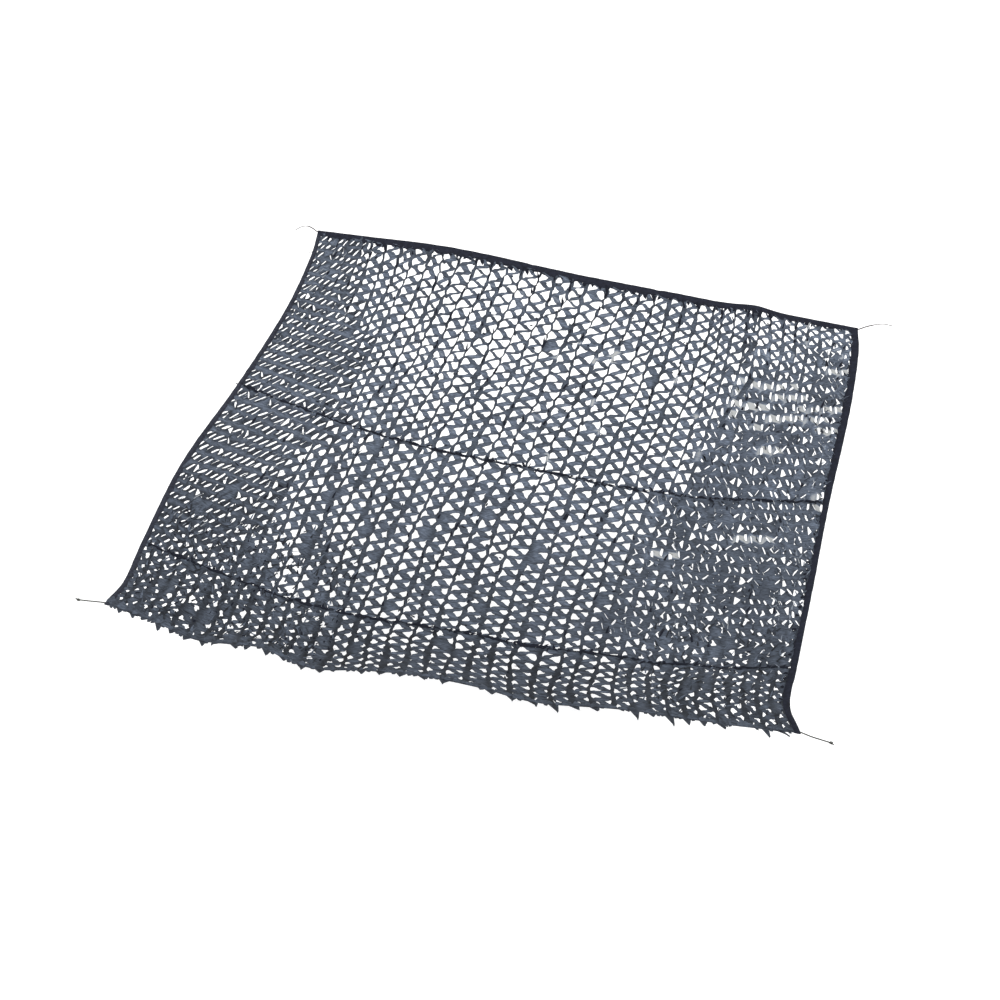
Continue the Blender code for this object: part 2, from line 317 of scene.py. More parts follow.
# 0 where the strips are thin and one way edge on, 1 where they lie flatter and close the holes
CLOSING = (
    (0.0, (0.7, 0.6, 0.4, 0.3, 0.2, 0.2, 0.2, 0.35, 0.5, 0.55, 0.55)),
    (0.15, (0.9, 0.8, 0.5, 0.3, 0.2, 0.25, 0.3, 0.35, 0.5, 0.55, 0.6)),
    (0.3, (0.9, 0.9, 0.8, 0.55, 0.45, 0.4, 0.4, 0.45, 0.55, 0.6, 0.7)),
    (0.45, (0.9, 0.9, 0.8, 0.7, 0.7, 0.6, 0.55, 0.6, 0.7, 0.8, 0.8)),
    (0.62, (1.0, 0.9, 0.9, 0.8, 0.85, 0.82, 0.8, 0.9, 0.95, 0.9, 0.9)),
    (0.78, (1.0, 1.0, 0.9, 0.85, 0.92, 0.92, 0.95, 1.05, 1.0, 1.0, 1.0)),
    (0.9, (0.9, 1.0, 1.0, 0.9, 0.92, 0.92, 0.95, 1.05, 1.05, 1.05, 1.05)),
    (1.0, (1.4, 1.5, 1.5, 1.4, 1.3, 1.3, 1.4, 1.5, 1.5, 1.5, 1.4)),
)
# Rows of leaves in each width, and how much taller the last is than the first
WIDTHS = (
    ("panel_far", 0.0, 0.449, 18, 0.34),
    ("panel_middle", 0.449, 0.847, 16, -0.36),
    ("panel_near", 0.847, 1.0, 7, -0.10),
)
# The slits that closed leaves make
SLITS = {
    # angle and its spread, length in rows and its spread, width, bend and its spread
    "slanted": (63, 8, 0.64, 0.18, 0.0084, 0.0, 0.003),
    "pale": (98, 6, 0.62, 0.08, 0.0135, 0.0, 0.002),
    "leaning": (116, 9, 0.52, 0.16, 0.0088, 0.0, 0.003),
    "chevron": (94, 9, 0.68, 0.12, 0.0078, 0.018, 0.005),
    "upright": (62, 12, 0.52, 0.15, 0.0090, 0.0, 0.004),
}
SEGMENTS = 4  # steps in a row of leaves down a spine, and along a bar
TUCK = 0.014
THICKNESS = 0.0006
# How far a metre of lift carries a point along the flat cloth, as seen from the camera
SEEN_SHIFT = np.array((0.209, -1.1))


def table(rows, u, v):
    values = [np.interp(u, ACROSS, row[1]) for row in rows]
    return float(np.interp(v, [row[0] for row in rows], values))


def columns_across():
    """Shares across where the spines run: as many as the pitches ask for, evenly fitted in."""
    start = (LEFT_BINDING - TUCK) / CLOTH
    end = 1 - (RIGHT_BINDING - TUCK) / CLOTH
    fine = np.linspace(start, end, 2001)
    steps = CLOTH * (fine[1] - fine[0]) / np.interp(fine[1:], ACROSS, PITCHES)
    count = np.concatenate(([0], np.cumsum(steps)))
    return np.interp(np.linspace(0, count[-1], round(count[-1]) + 1), count, fine)


def wobble(x, y, layer):
    return noise.noise(Vector((x, y, layer * 7.31)))


def ease(low, high, at):
    """0 at low and 1 at high, and a smooth step between."""
    t = min(max((at - low) / (high - low), 0), 1)
    return t * t * (3 - 2 * t)


def sideways(u, v):
    """How far the far width's spines are pulled to the right where they hang from the far binding."""
    return 0.15 * ease(0.0, 0.3, u) * (1 - ease(0.55, 0.9, u)) * max(1 - v / 0.42, 0) ** 2


def wander(u, v, loose):
    """How far a spine strays sideways of its straight line."""
    return (0.006 + 0.02 * loose) * wobble(u * 45, v * 12, 3)


def tightness(u, v):
    """0 where the leaves stand open, 1 where they are closed to slits."""
    return min(max(table(TIGHT, u, v) + 0.22 * wobble(u * 9, v * 9, 1), 0), 1)


def shade(u, v):
    """The cloth's lightness: darker toward the near edge and in clouds, and darker along the crease as painted
    shade.
    """
    tone = 1.24 - 0.34 * ease(0.4, 0.78, v) - 0.22 * ease(0.78, 0.92, v) - 0.1 * ease(0.95, 1.0, v)
    tone *= 1 + 0.22 * wobble(u * 11, v * 11, 12)
    crease = abs(u - (0.817 - 0.16 * v) - 0.01 * wobble(v * 30, u, 17)) * CLOTH
    # painted shade along the crease near the top right
    if v < 0.26:
        crease_shade = 0.5 * (1 - ease(0.004, 0.04, crease)) * (1 - ease(0.08, 0.2, v))
        tone *= 1 - crease_shade * (0.6 + wobble(v * 60, u, 18))
    return tone


def pale_run(u, v, row):
    """Whether the strips of this row catch the light here, as some do toward the right side."""
    bar = 0.12 if v < 0.27 and u > 0.84 else 0.33 if v < 0.55 else 0.46
    return 0.7 < u < 0.985 and wobble(u * 8.5, row * 2.37 + (3.1 if v > 0.449 else 0), 52) > bar


def ruffled(u, v):
    """How disordered the leaves are: 1 in the slack cloth toward the near corners."""
    return max(ease(0.44, 0.24, u) * ease(0.64, 0.82, v), ease(0.7, 0.85, u) * ease(0.7, 0.86, v))


def slit_form(u, v, k, row, kind, jitter, disorder):
    """The slit a leaf closes to: its angle, length, width and bend, and how far off its middle it folds."""
    if u < 0.45:
        form = "slanted"
    elif pale_run(u, v, k) and not disorder > 0.5:
        form = "pale"
        jitter[2] *= 0.5  # these differ less in width
    elif kind < 0.36:
        form = "leaning"
    elif kind < 0.88:
        form = "chevron"
    else:
        form = "upright"
    angle, turn, length, longer, width, bend, bent = SLITS[form]
    angle += turn * jitter[0]
    length = row * (length + longer * jitter[1])
    bend += bent * jitter[3]
    fold = 0.45 * jitter[5] if form == "chevron" else 0.0
    if form == "slanted" and kind < 0.14:  # a hook
        angle, bend = 88 + 10 * jitter[0], 0.012 * (1 if jitter[3] > -0.3 else -1)
    elif form == "slanted" and kind < 0.19:
        angle = 112
    elif form == "chevron" and kind > 0.72:
        bend = -bend
    width *= exp(0.45 * jitter[2]) * (1.15 if u < 0.2 or (u > 0.5 and v > 0.55) else 1.0)
    if u > 0.5 and jitter[7] > 0.6:
        width *= 0.5
    return radians(angle), length * (1 - 0.35 * disorder), width, bend, fold


class Net:
    """Points, faces and tones of one width of net, flat, before it is hung."""

    def __init__(self):
        self.flat, self.lift, self.tone, self.faces = [], [], [], []

    def add(self, point, lift, tone):
        self.flat.append(np.array(point, float))
        self.lift.append(lift)
        self.tone.append(tone)
        return len(self.flat) - 1


def cross(d, e):
    return d[0] * e[1] - d[1] * e[0]


def meet(p, q, r, s):
    """Where the line through p and q meets the line through r and s, or None if they hardly cross."""
    d, e = q - p, s - r
    if abs(cross(d, e)) < 1e-7:
        return None
    return p + d * (cross(r - p, e) / cross(d, e))


def normal_to(d):
    return np.array((-d[1], d[0])) / max(np.hypot(*d), 1e-6)


def build_net(v0, v1, rows, growth, seed, ragged):
    rng = random.Random(seed)
    between = rng.uniform
    net = Net()
    across = columns_across()
    columns = len(across) - 1
    last = SEGMENTS * rows

    def share(k):
        t = k / rows
        return v0 + (v1 - v0) * t * (1 - growth / 2 * (1 - t))

    # spines: 4 points a row; bars to the right leave at 0, and bars to the left at 2
    spine, half_width, spine_turn = [], [], []
    for j, u in enumerate(across):
        points, halves, turns = [], [], []
        turn_sign = rng.choice((1, 1, -1))
        for n in range(last + 1):
            k, r = divmod(n, SEGMENTS)
            v = share(n / SEGMENTS)
            b = min(max(table(STAGGER, u, v) + 0.1 * wobble(u * 6, v * 6, 2), 0.03), 0.97)
            high = min(k + (0, b / 2, b, (1 + b) / 2)[r], rows)
            tight = tightness(u, v)
            loose = 1 - tight
            closing = table(CLOSING, u, v)
            x = u * CLOTH
            y = -share(high) * CLOTH
            if 0 < j < columns:
                x += sideways(u, v) + 0.0045 * loose * (1, 0, -1, 0)[r]
                x += wander(u, v, loose) + (0.002 + 0.0025 * loose) * between(-1, 1)
                if 0 < n < last:
                    y += 0.008 * ruffled(u, v) * between(-1, 1)
                    y += (0.003 + 0.013 * loose) * wobble(u * 30, v * 30, 4)
                    y += (0.002 + 0.002 * loose) * between(-1, 1)
            lift = 0.005 * wobble(u * 30, v * 25, 5)
            swell = max(1.5 * wobble(j * 5.3, v * 36, 14) + 0.28, 0)
            halves.append(0.0014 + 0.0105 * swell * (1 - 0.5 * tight) + 0.0055 * closing)
            way = 1 if wobble(j * 5.1, v * 6, 7) > -0.2 else -1
            turns.append(turn_sign * (0.0065 - 0.004 * closing) * way)
            # painted shade on spines twisted edge on, deeper toward the near edge, and a painted highlight
            # (1.9) on some in the far middle
            dark = max(0.44 + 0.1 * swell + 0.42 * wobble(j * 2.3, v * 60, 13), 0.16)
            dark *= 1 - 0.3 * ease(0.8, 0.9, v)
            if v < 0.45 and 0.35 < u < 0.92 and wobble(j * 3.7, v * 26, 19) > 0.44:
                dark = 1.9
            # in the tight zones: painted shade midway along each row between its slits, random darker spots,
            # and a painted highlight (2.0) on pale runs
            band = 1 - (0.5 if u < 0.5 else 0.22) * (1 - abs(2 * (high % 1) - 1))
            band -= 0.3 * max(between(-0.6, 1), 0)
            if pale_run(u, v, k) and r and tight > 0.3:
                band = 2.0
            points.append(net.add((x, y), lift, shade(u, v) * (dark * loose + band * tight)))
        spine.append(points)
        half_width.append(halves)
        spine_turn.append(turns)

    # which family of bars faces the light, in runs down each column
    face_up = []
    for u in across[:-1]:
        bias = 0.62 if v0 > 0.3 else 0.42 if u < 0.4 else 0.74
        states = []
        while len(states) < rows + 2:
            state = rng.random() < bias
            states += [state] * rng.randint(1, 6)
        face_up.append(states)

    def bar_look(j, k, family):
        """How one bar lies: how far its edge stands off at each end, its turn, its tone with painted light and
        shade, and its bend.
        """
        u, v = across[j], share(min(k, rows))
        closing, tight = table(CLOSING, u, v), tightness(u, v)
        # with rows of up bars facing the light, the down bars are edge on, and the other way round
        wide = face_up[j][k] == (family == "up")
        if rng.random() < 0.06:
            wide = not wide
        # root and reach: how far its edge stands from the straight line between its nodes, in rows
        shut, part = ease(0.78, 1.05, closing), ease(0.2, 0.6, closing)
        slack = ease(0.3, 0.55, u)
        full = ease(0.36, 0.46, u) * ease(0.84, 0.74, u)
        root = 0.015 + 0.05 * slack * part + 0.05 * shut + 0.012 * full
        # painted light and shade: a bar facing the light gets a lighter tone, one turned edge on a darker one
        if wide:
            reach = 0.33 * (1 - part) + (0.37 - 0.08 * slack) * part
            turn = -0.005
            tone = between(1.0, 1.18)
        else:
            reach = 0.14 * (1 - part) + (0.33 - 0.09 * slack) * part
            turn = 0.009 * (1 - closing)
            tone = between(0.5, 0.8) + 0.25 * closing
        root *= between(0.6, 1.4)
        reach *= between(0.8, 1.2) * (1 + 0.12 * full)
        # in the tight zones: painted shade on the up bars at the left, a painted highlight on pale runs at the
        # right
        if tight > 0.5:
            if u < 0.5:
                tone = between(0.3, 0.5) if family == "up" else 0.95
            elif family == "down" and pale_run(u, v, k):
                tone = between(1.9, 2.5)
            else:
                tone = between(0.6, 1.05)
        return root, reach, turn, tone * shade(u, v), 0.004 * between(-0.7, 1)

    def bar(a, b, look, bow_lift):
        """The inner points between two nodes, on a slight S."""
        pa, pb = net.flat[a], net.flat[b]
        d = normal_to(pb - pa)
        inner = []
        for s in range(1, SEGMENTS):
            t = s / SEGMENTS
            p = pa + (pb - pa) * t + d * look[4] * sin(2 * pi * t)
            lift = net.lift[a] * (1 - t) + net.lift[b] * t + bow_lift * sin(pi * t)
            inner.append(net.add(p, lift, look[3]))
        return [a, *inner, b]

    bars, looks = {}, {}
    for j in range(columns):
        for k in range(rows + 1):
            for family, there, step in (("down", k < rows, 2), ("up", k > 0, -2)):
                if there:
                    looks[family, j, k] = look = bar_look(j, k, family)
                    end = spine[j + 1][SEGMENTS * k + step]
                    bars[family, j, k] = bar(spine[j][SEGMENTS * k], end, look, between(-0.003, 0.004))
        hem = 0.46 + 0.3 * rng.random() if ragged else 0.14
        flat_look = (hem, hem, 0.0, 0.8 * shade(across[j], v1), 0.0)
        for family, k, n in (("down", rows, last), ("up", 0, 0)):
            looks[family, j, k] = flat_look
            bars[family, j, k] = bar(spine[j][n], spine[j + 1][n], flat_look, 0)

    def hole(j, k, right):
        """One leaf cut: its ring of points inside its loop of strips. right: its point is at the right."""
        u = (across[j] + across[j + 1]) / 2
        flat = net.flat
        at = SEGMENTS * k
        if right:
            facing, v, edge, high, low = 1, share(k + 0.5), j, at, at + SEGMENTS
            upper, lower = ("down", j, k), ("up", j, k + 1)
        else:
            facing, v, edge, high, low = -1, share(k), j + 1, max(at - 2, 0), min(at + 2, last)
            upper, lower = ("up", j, k), ("down", j, k)
        side = spine[edge][high:low + 1]
        top, bottom, apex = flat[side[0]], flat[side[-1]], flat[bars[upper][-1 if right else 0]]
        top_look, bottom_look = looks[upper], looks[lower]
        halves = half_width[edge][high:low + 1][::facing]
        turn = facing * spine_turn[edge][at + 2 if right else at]
        loop_sides = (side[::facing], *(bars[lower], bars[upper][::-1])[::facing])
        loop = [i for part in loop_sides for i in part[:-1]]
        corners = (top, bottom, apex)
        centre = (top + bottom + apex) / 3
        area = abs(cross(bottom - top, apex - top)) / 2
        tight = ease(0.4, 0.6, tightness(u, v) + 0.14 * between(-1, 1))
        disorder = ruffled(u, v)
        closing = table(CLOSING, u, v)
        tone_here = shade(u, v)
        jitter = [between(-1, 1) for _ in range(8)]
        blotch = wobble(u * 16, v * 16, 8) > 0.44 and closing > 0.6
        clump = disorder > 0.3 and wobble(u * 19, v * 19, 41) > 0.12
        chance = 0.004 + 0.008 * closing * closing + 0.03 * disorder
        chance += 0.16 if blotch else 0
        chance += (0.36 if u < 0.22 else 0.2) if clump else 0
        closed = rng.random() < chance or area < 0.0002

        # the open leaf, as it looks from where the cloth is seen
        inward = np.array((facing * max(np.mean(halves), 0.001), 0.0))
        t0 = top + (bottom - top) * (top_look[0] + 0.035 * jitter[0])
        t1 = apex + (bottom - apex) * (top_look[1] + 0.04 * jitter[1])
        b0 = bottom + (top - bottom) * (bottom_look[0] + 0.035 * jitter[2])
        b1 = apex + (top - apex) * (bottom_look[1] + 0.04 * jitter[3])
        s0, s1 = top + inward, bottom + inward
        c_top, c_bottom, c_apex = meet(s0, s1, t0, t1), meet(s0, s1, b0, b1), meet(t0, t1, b0, b1)
        if not closed and (c_top is None or c_bottom is None or c_apex is None
                           or (c_top - c_bottom)[1] < 0.005 or (c_apex - c_top)[0] * facing < 0.004):
            closed = tight < 0.5
            c_top, c_bottom, c_apex = (centre + (c - centre) * 0.3 for c in corners)
        elif not closed and disorder:
            hub = (c_top + c_bottom + c_apex) / 3
            large = 0.9 * disorder * max(wobble(u * 15, v * 15, 47), 0)
            size = 1.02 + min(large, 0.34) if u < 0.5 else 1.16
            c_top, c_bottom, c_apex = (hub + (c - hub) * (size - 0.44 * disorder * rng.random())
                                       for c in (c_top, c_bottom, c_apex))
        if closed:
            middle = net.add(centre, 0.004 * jitter[0], tone_here * (1.0 + 0.12 * jitter[1]))
            for i in range(len(loop)):
                net.faces.append((loop[i], loop[(i + 1) % len(loop)], middle))
            return
        # each side of the ring: its two corners, how far it turns up, and its tone unless it has its spine's
        above, below = (top_look[2], top_look[3]), (-bottom_look[2], bottom_look[3])
        if right:
            ring_sides = ((c_top, c_bottom, turn, None), (c_bottom, c_apex, *below), (c_apex, c_top, *above))
        else:
            ring_sides = ((c_bottom, c_top, turn, None), (c_top, c_apex, *above), (c_apex, c_bottom, *below))
        # the slit that it closes to
        k0, k1 = max(k - 1, 0), min(k + 1, rows)
        row = (share(k1) - share(k0)) * CLOTH / (k1 - k0)
        pitch = (across[j + 1] - across[j]) * CLOTH
        b = table(STAGGER, u, v)
        drift = 0.002 if u < 0.5 else 0.005
        middle = centre + (drift * jitter[4] - facing * pitch / 12,
                           1.2 * drift * jitter[5] + facing * row * (2 * b - 1) / 6)
        kind = rng.random()
        angle, slit_length, slit_width, bend, fold = slit_form(u, v, k, row, kind, jitter, disorder)
        along = np.array((cos(angle), sin(angle)))
        reach = max(abs((c - centre) @ along) for c in corners)
        breadth = max(abs((c - centre)[0]) for c in corners)

        ring = []
        for s, (start, end, rise, tone) in enumerate(ring_sides):
            ids = loop_sides[s]
            count = len(ids) - 1
            first, final = flat[ids[0]], flat[ids[-1]]
            before = ring_sides[s - 1]
            normal = normal_to(end - start)
            for i in range(count):
                t = i / count
                here = flat[ids[i]]
                point = start + (end - start) * t
                up, mark = rise, tone
                if tone is None:  # along a spine, it follows the spine's own bends
                    mark = net.tone[ids[i]]
                    point = point + 0.7 * (here - (first + (final - first) * t))
                    if i:
                        point[0] += facing * (halves[i] - abs(inward[0]))
                else:
                    bulge = 0.003 * sin(pi * t) * jitter[s] + 0.003 * sin(2 * pi * t)
                    point = point + normal * bulge
                if i == 0:
                    up = 0.4 * (rise + before[2])
                    mark = 0.5 * (mark + (before[3] or mark))
                    # painted shade at some corners where strips meet
                    if rng.random() < 0.35:
                        mark *= 0.45
                # painted shade along the edges of the hole
                mark *= 0.7 if tight < 0.5 else 0.62 if u < 0.5 else 0.8
                # as seen, it stands where its lift and its place on the cloth put it together
                point = point + SEEN_SHIFT * up
                q = here - centre
                shares = np.array(((q @ along) / reach, q[0] / breadth))
                shares /= max(*abs(shares), 1e-3)
                if min(abs(shares)) > 0.55:
                    shares = np.copysign(0.92 + 0.08 * abs(shares), shares)
                up_share, over_share = shares
                taper = 1 - 0.35 * abs(up_share)
                slit = (middle + along * ((up_share + fold * (1 - abs(up_share))) * slit_length / 2)
                        + (over_share * slit_width * taper / 2 - bend * (abs(up_share) - 0.5), 0.0))
                lip = 0.0035 * copysign(1, over_share) * (1 if u < 0.5 else -1)
                slit = slit + SEEN_SHIFT * lip
                point = point * (1 - tight) + slit * tight
                lift = up * (1 - tight) + lip * tight
                ring.append(net.add(point, net.lift[ids[i]] + lift, mark))
        count = len(loop)
        if tight < 0.5:  # some corners are rounded and some run out in a tail
            at = 0
            for s, ids in enumerate(loop_sides):
                corner, before, after = (flat[ring[i % count]] for i in (at, at - 1, at + 1))
                blunt = between(-0.35, 0.75) if s != 2 - (facing > 0) else between(-0.55, 0.45)
                flat[ring[at]] = corner + blunt * ((before + after) / 2 - corner)
                at += len(ids) - 1
        for i in range(count):
            net.faces.append((loop[i], loop[(i + 1) % count], ring[(i + 1) % count], ring[i]))
        # a curled tip of cut cloth at a corner, darkened as painted shade
        if rng.random() < 0.2 * (1 - 0.5 * tight):
            at = rng.choice((0, len(loop_sides[0]) - 1, len(loop_sides[0]) + len(loop_sides[1]) - 2))
            corner = flat[ring[at]]
            middle_ring = sum(flat[i] for i in ring) / count
            tip = corner + (middle_ring - corner) * between(0.25, 0.7)
            tip_lift = net.lift[ring[at]] + rng.choice((-1, 1)) * between(0.003, 0.008)
            curl = net.add(tip, tip_lift, 0.32 * tone_here)
            net.faces.append((ring[at - 1], ring[at], curl))
            net.faces.append((ring[at], ring[(at + 1) % count], curl))

    for j in range(columns):
        for k in range(rows + 1):
            if k < rows:
                hole(j, k, True)
            hole(j, k, False)

    if ragged:  # cut tips along the near edge, a wide one where most spines run out
        for j in range(columns):
            bottom = bars["down", j, rows]
            tone = between(0.45, 0.75) * shade(across[j], 1.0)
            if j and rng.random() < 0.7:
                left, mid, right = bars["down", j - 1, rows][-2], bottom[0], bottom[1]
                drop = between(0.014, 0.042)
                drop *= 1 + 0.7 * (rng.random() < 0.25) * ease(0.4, 0.7, across[j])
                lean = between(-0.006, 0.014) * (1 + ease(0.6, 0.8, across[j]))
                tips = [net.add(net.flat[mid] + (lean + side, -drop * down), between(-0.006, 0.003), tone)
                        for side, down in ((-0.005, 0.8), (0.0, 1.0), (0.005, 0.75))]
                net.faces.append((mid, left, tips[0], tips[1]))
                net.faces.append((right, mid, tips[1], tips[2]))
            for i in (1, 2):
                a, b = bottom[i], bottom[i + 1]
                if rng.random() < 0.6:
                    at = (net.flat[a] + net.flat[b]) / 2
                    tips = [net.add(at + (side, -between(0.004, 0.014)), 0.0, tone)
                            for side in (-0.006, 0.006)]
                    net.faces.append((b, a, tips[0], tips[1]))
    return net


def cloth_object(name, net):
    """The hung net as a thin closed mesh."""
    flat = np.array(net.flat)
    top = on_cloth(flat, net.lift)
    faces = net.faces
    normals = np.zeros_like(top)
    for face in faces:
        p = top[list(face)]
        n = np.cross(p[1] - p[0], p[2] - p[0])
        if len(face) == 4:
            n = n + np.cross(p[2] - p[0], p[3] - p[0])
        normals[list(face)] += n
    normals /= np.maximum(norm(normals, axis=1), 1e-12)[:, None]
    count = len(top)
    points = np.concatenate((top + normals * THICKNESS / 2, top - normals * THICKNESS / 2))
    edges = [pair for face in faces for pair in zip(face, face[1:] + face[:1])]
    known = set(edges)
    solid = faces + [tuple(i + count for i in reversed(face)) for face in faces]
    solid += [(b, a, a + count, b + count) for a, b in edges if (b, a) not in known]
    made = mesh_object(name, points, solid, cloth)
    made.data.validate()
    add_cloth_data(made.data, np.concatenate((flat, flat)), net.tone * 2)
    shade_smooth(made.data, 50)
    return made


# ---- bindings and their stitching
FULLNESS = 1.08  # how much wider than their solids the wide tapes are drawn, before their lumps
STITCHES = 340


def swept(name, rings, material):
    """A closed mesh through rings of points, all with the same count."""
    faces = tube_faces(0, len(rings), len(rings[0]))
    made = mesh_object(name, np.concatenate(rings), faces, material)
    mesh = bmesh.new()
    mesh.from_mesh(made.data)
    bmesh.ops.recalc_face_normals(mesh, faces=mesh.faces)
    mesh.to_mesh(made.data)
    mesh.free()
    shade_smooth(made.data, 60)
    return made


def tape_rings(start, end, width, place, steps, layer, pinches=(), taper=0.0):
    """Rings of a lumpy folded tape. place(s, w) is the flat point at s along the edge and w in from it."""
    rings = []
    for n in range(steps + 1):
        s = start + (end - start) * n / steps
        here = width * (1 + 0.16 * wobble(s * 40, layer, 20) + 0.16 * wobble(s * 130, layer, 21))
        here *= 1 - taper * ease(0.25, 0.5, s)
        low = 0.0015 * wobble(s * 60, layer, 22)
        sink = 0.0
        for at, share, half in pinches:
            near = exp(-(((s - at) / half) ** 2))
            here *= 1 - share * near
            sink += 0.006 * near
        half_thick = BINDING_THICKNESS / 2
        outline = (
            (low - 0.0005, 0.0), (low + 0.003, 0.85),
            (low + 0.3 * here, 1.0 + 0.3 * wobble(s * 120, layer, 23)),
            (low + 0.6 * here, 0.9 + 0.3 * wobble(s * 150, layer, 24)),
            (here - 0.003, 0.7), (here, 0.25), (here, -0.25), (here - 0.003, -0.7),
            (low + 0.6 * here, -0.9), (low + 0.3 * here, -1.0), (low + 0.003, -0.85),
        )
        flat = [place(s, w) for w, _ in outline]
        rings.append(on_cloth(flat, [t * half_thick - sink for _, t in outline]))
    return rings


def far_place(s, w):
    return (s * CLOTH, -w)


def left_place(s, w):
    return (w, -s * CLOTH)


def right_place(s, w):
    return (CLOTH - w, -s * CLOTH)


def stitches(name, ends):
    """A row of small raised stitches: a box between each pair of flat points."""
    points, faces = [], []
    for a, b in np.array(ends):
        along = (b - a) / norm(b - a)
        over = np.array((-along[1], along[0])) * 0.0009
        base = np.array([a + over, a - over, b - over, b + over])
        low = on_cloth(base, np.full(4, 0.0025))
        high = on_cloth(base * 0.7 + base.mean(axis=0) * 0.3, np.full(4, 0.0047))
        first = len(points)
        points += [*low, *high]
        faces += tube_faces(first, 2, 4)
    made = mesh_object(name, points, faces, thread)
    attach(made, "root")


cloth = cloth_material()
dark_tape = clouded_material("binding_tape_cloth", (0.012, 0.014, 0.024), 60.0, 0.7, 0.25)
worn_tape = clouded_material("binding_tape_worn", (0.026, 0.029, 0.042), 60.0, 0.7, 0.25)
for seed, (name, v0, v1, rows, growth) in enumerate(WIDTHS, 11):
    first = (FAR_BINDING - TUCK) / CLOTH if v0 == 0 else v0
    net = build_net(first, v1, rows, growth, seed, name == "panel_near")
    piece = cloth_object(name + "_net", net)
    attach(piece, "root")
    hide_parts(name)
    length = CLOTH * (v1 - v0)

thread = nodes_of("dark_thread", (0.01, 0.012, 0.02), 0.8)[0]
inner = FAR_BINDING / CLOTH
below_far = inner + 0.0002
puckers = ((0.406, 0.28, 0.006), (0.639, 0.3, 0.006))  # place, share drawn in and half width of each
for name, rings in (
    ("binding_far", tape_rings(0.0, 1.0, FULLNESS * FAR_BINDING, far_place, 300, 1, puckers)),
    ("binding_left", tape_rings(below_far, 1.0, LEFT_BINDING, left_place, 220, 2)),
    # the right tape is drawn wider toward its far end: its dark there is partly tape and partly painted shadow
    # beside it
    ("binding_right", tape_rings(below_far, 1.0, FULLNESS * RIGHT_BINDING, right_place, 220, 3, (), 0.3)),
):
    piece = swept(name + "_tape", rings, worn_tape if name == "binding_left" else dark_tape)
    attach(piece, "root")
    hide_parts(name)
for name, place, w, start, end in (
    ("far_stitching", far_place, FAR_BINDING - 0.007, 0.012, 0.992),
    ("left_stitching", left_place, LEFT_BINDING - 0.006, inner + 0.002, 0.995),
    ("right_stitching", right_place, RIGHT_BINDING - 0.007, inner + 0.002, 0.995),
):
    step = (end - start) / STITCHES
    ends = [[place(start + step * at, w) for at in (k, k + 0.62)] for k in range(STITCHES)]
    stitches(name, ends)


# ---- seams and scraps of cut cloth
SCRAP_SIDES = 5
UPRIGHT = pi / 2
rng = random.Random(5)
between = rng.uniform


def scraps(name, rows, material, tones=None):
    """Small bent tongues of cloth on the hung sail.

    Each row is x, y, length, width, angle, lift at its root and lift at its tip.
    """
    flats, lifts, faces = [], [], []
    for x, y, length, width, angle, root, tip in rows:
        along = np.array((cos(angle), sin(angle)))
        over = np.array((-along[1], along[0])) * width / 2
        start = np.array((x, y))
        middle = start + along * length * 0.5
        end = start + along * length
        first = len(flats)
        flats += [start - over, middle - over * 0.9, end, middle + over * 0.9, start + over] * 2
        heights = [root, (root + tip) / 2 + 0.002, tip, (root + tip) / 2 + 0.002, root]
        lifts += heights + [h - 0.0008 for h in heights]
        faces += [face[::-1] for face in tube_faces(first, 2, SCRAP_SIDES)]
    made = mesh_object(name, on_cloth(flats, lifts), faces, material)
    if tones is not None:
        add_cloth_data(made.data, flats, tones)
    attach(made, "root")


def make_seam(name, down):
    """A dark seam from side to side, as uneven as it is sewn, with tufts of cut cloth along it."""
    rings = []
    for n in range(620):
        u = 0.01 + 0.978 * n / 619
        x = u * CLOTH
        y = -down * CLOTH + 0.012 * wobble(u * 34, down * 9, 31) + 0.007 * wobble(u * 110, down * 9, 32)
        half = 0.0007 + 0.015 * max(wobble(u * 46, down * 5, 33) + 0.02, 0)
        half += 0.003 * max(wobble(u * 210, down * 5, 35), 0)
        if down > 0.8:  # heavier where it is drawn up beside the left edge
            half += 0.007 * ease(0.34, 0.12, u) * max(wobble(u * 60, down * 5, 36) + 0.1, 0)
        flat = [(x, y + h) for h in (half, half / 2, -half, -half / 2)]
        high = 0.004 + 0.003 * wobble(u * 90, down * 5, 34)
        deep = min(half, 0.004)
        rings.append(on_cloth(flat, (high, high + deep, high, high - deep)))
    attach(swept(name, rings, seam_and_shade_cloth), "root")
    rows = []
    x = 0.04
    while x < CLOTH - 0.05:
        y = -down * CLOTH + 0.008 * between(-1, 1)
        rows.append((x, y, between(0.014, 0.04), between(0.004, 0.014), between(-0.5, 0.5),
                     0.004, between(0.004, 0.009)))
        if rng.random() < 0.55:
            rows.append((x, y, between(0.014, 0.045), between(0.005, 0.014),
                         rng.choice((-1, 1)) * between(0.5, 2.4), 0.003, between(0.002, 0.012)))
        x += between(0.01, 0.05)
    scraps(name + "_tufts", rows, seam_and_shade_cloth)


# near-black cloth for the seams and their tufts, and for scraps of painted shade
seam_and_shade_cloth = nodes_of("seam_and_shade_scrap", (0.01, 0.012, 0.02), 0.9, 0.2)[0]
for name, down in (("seam_far_middle", 0.449), ("seam_middle_near", 0.847)):
    make_seam(name, down)

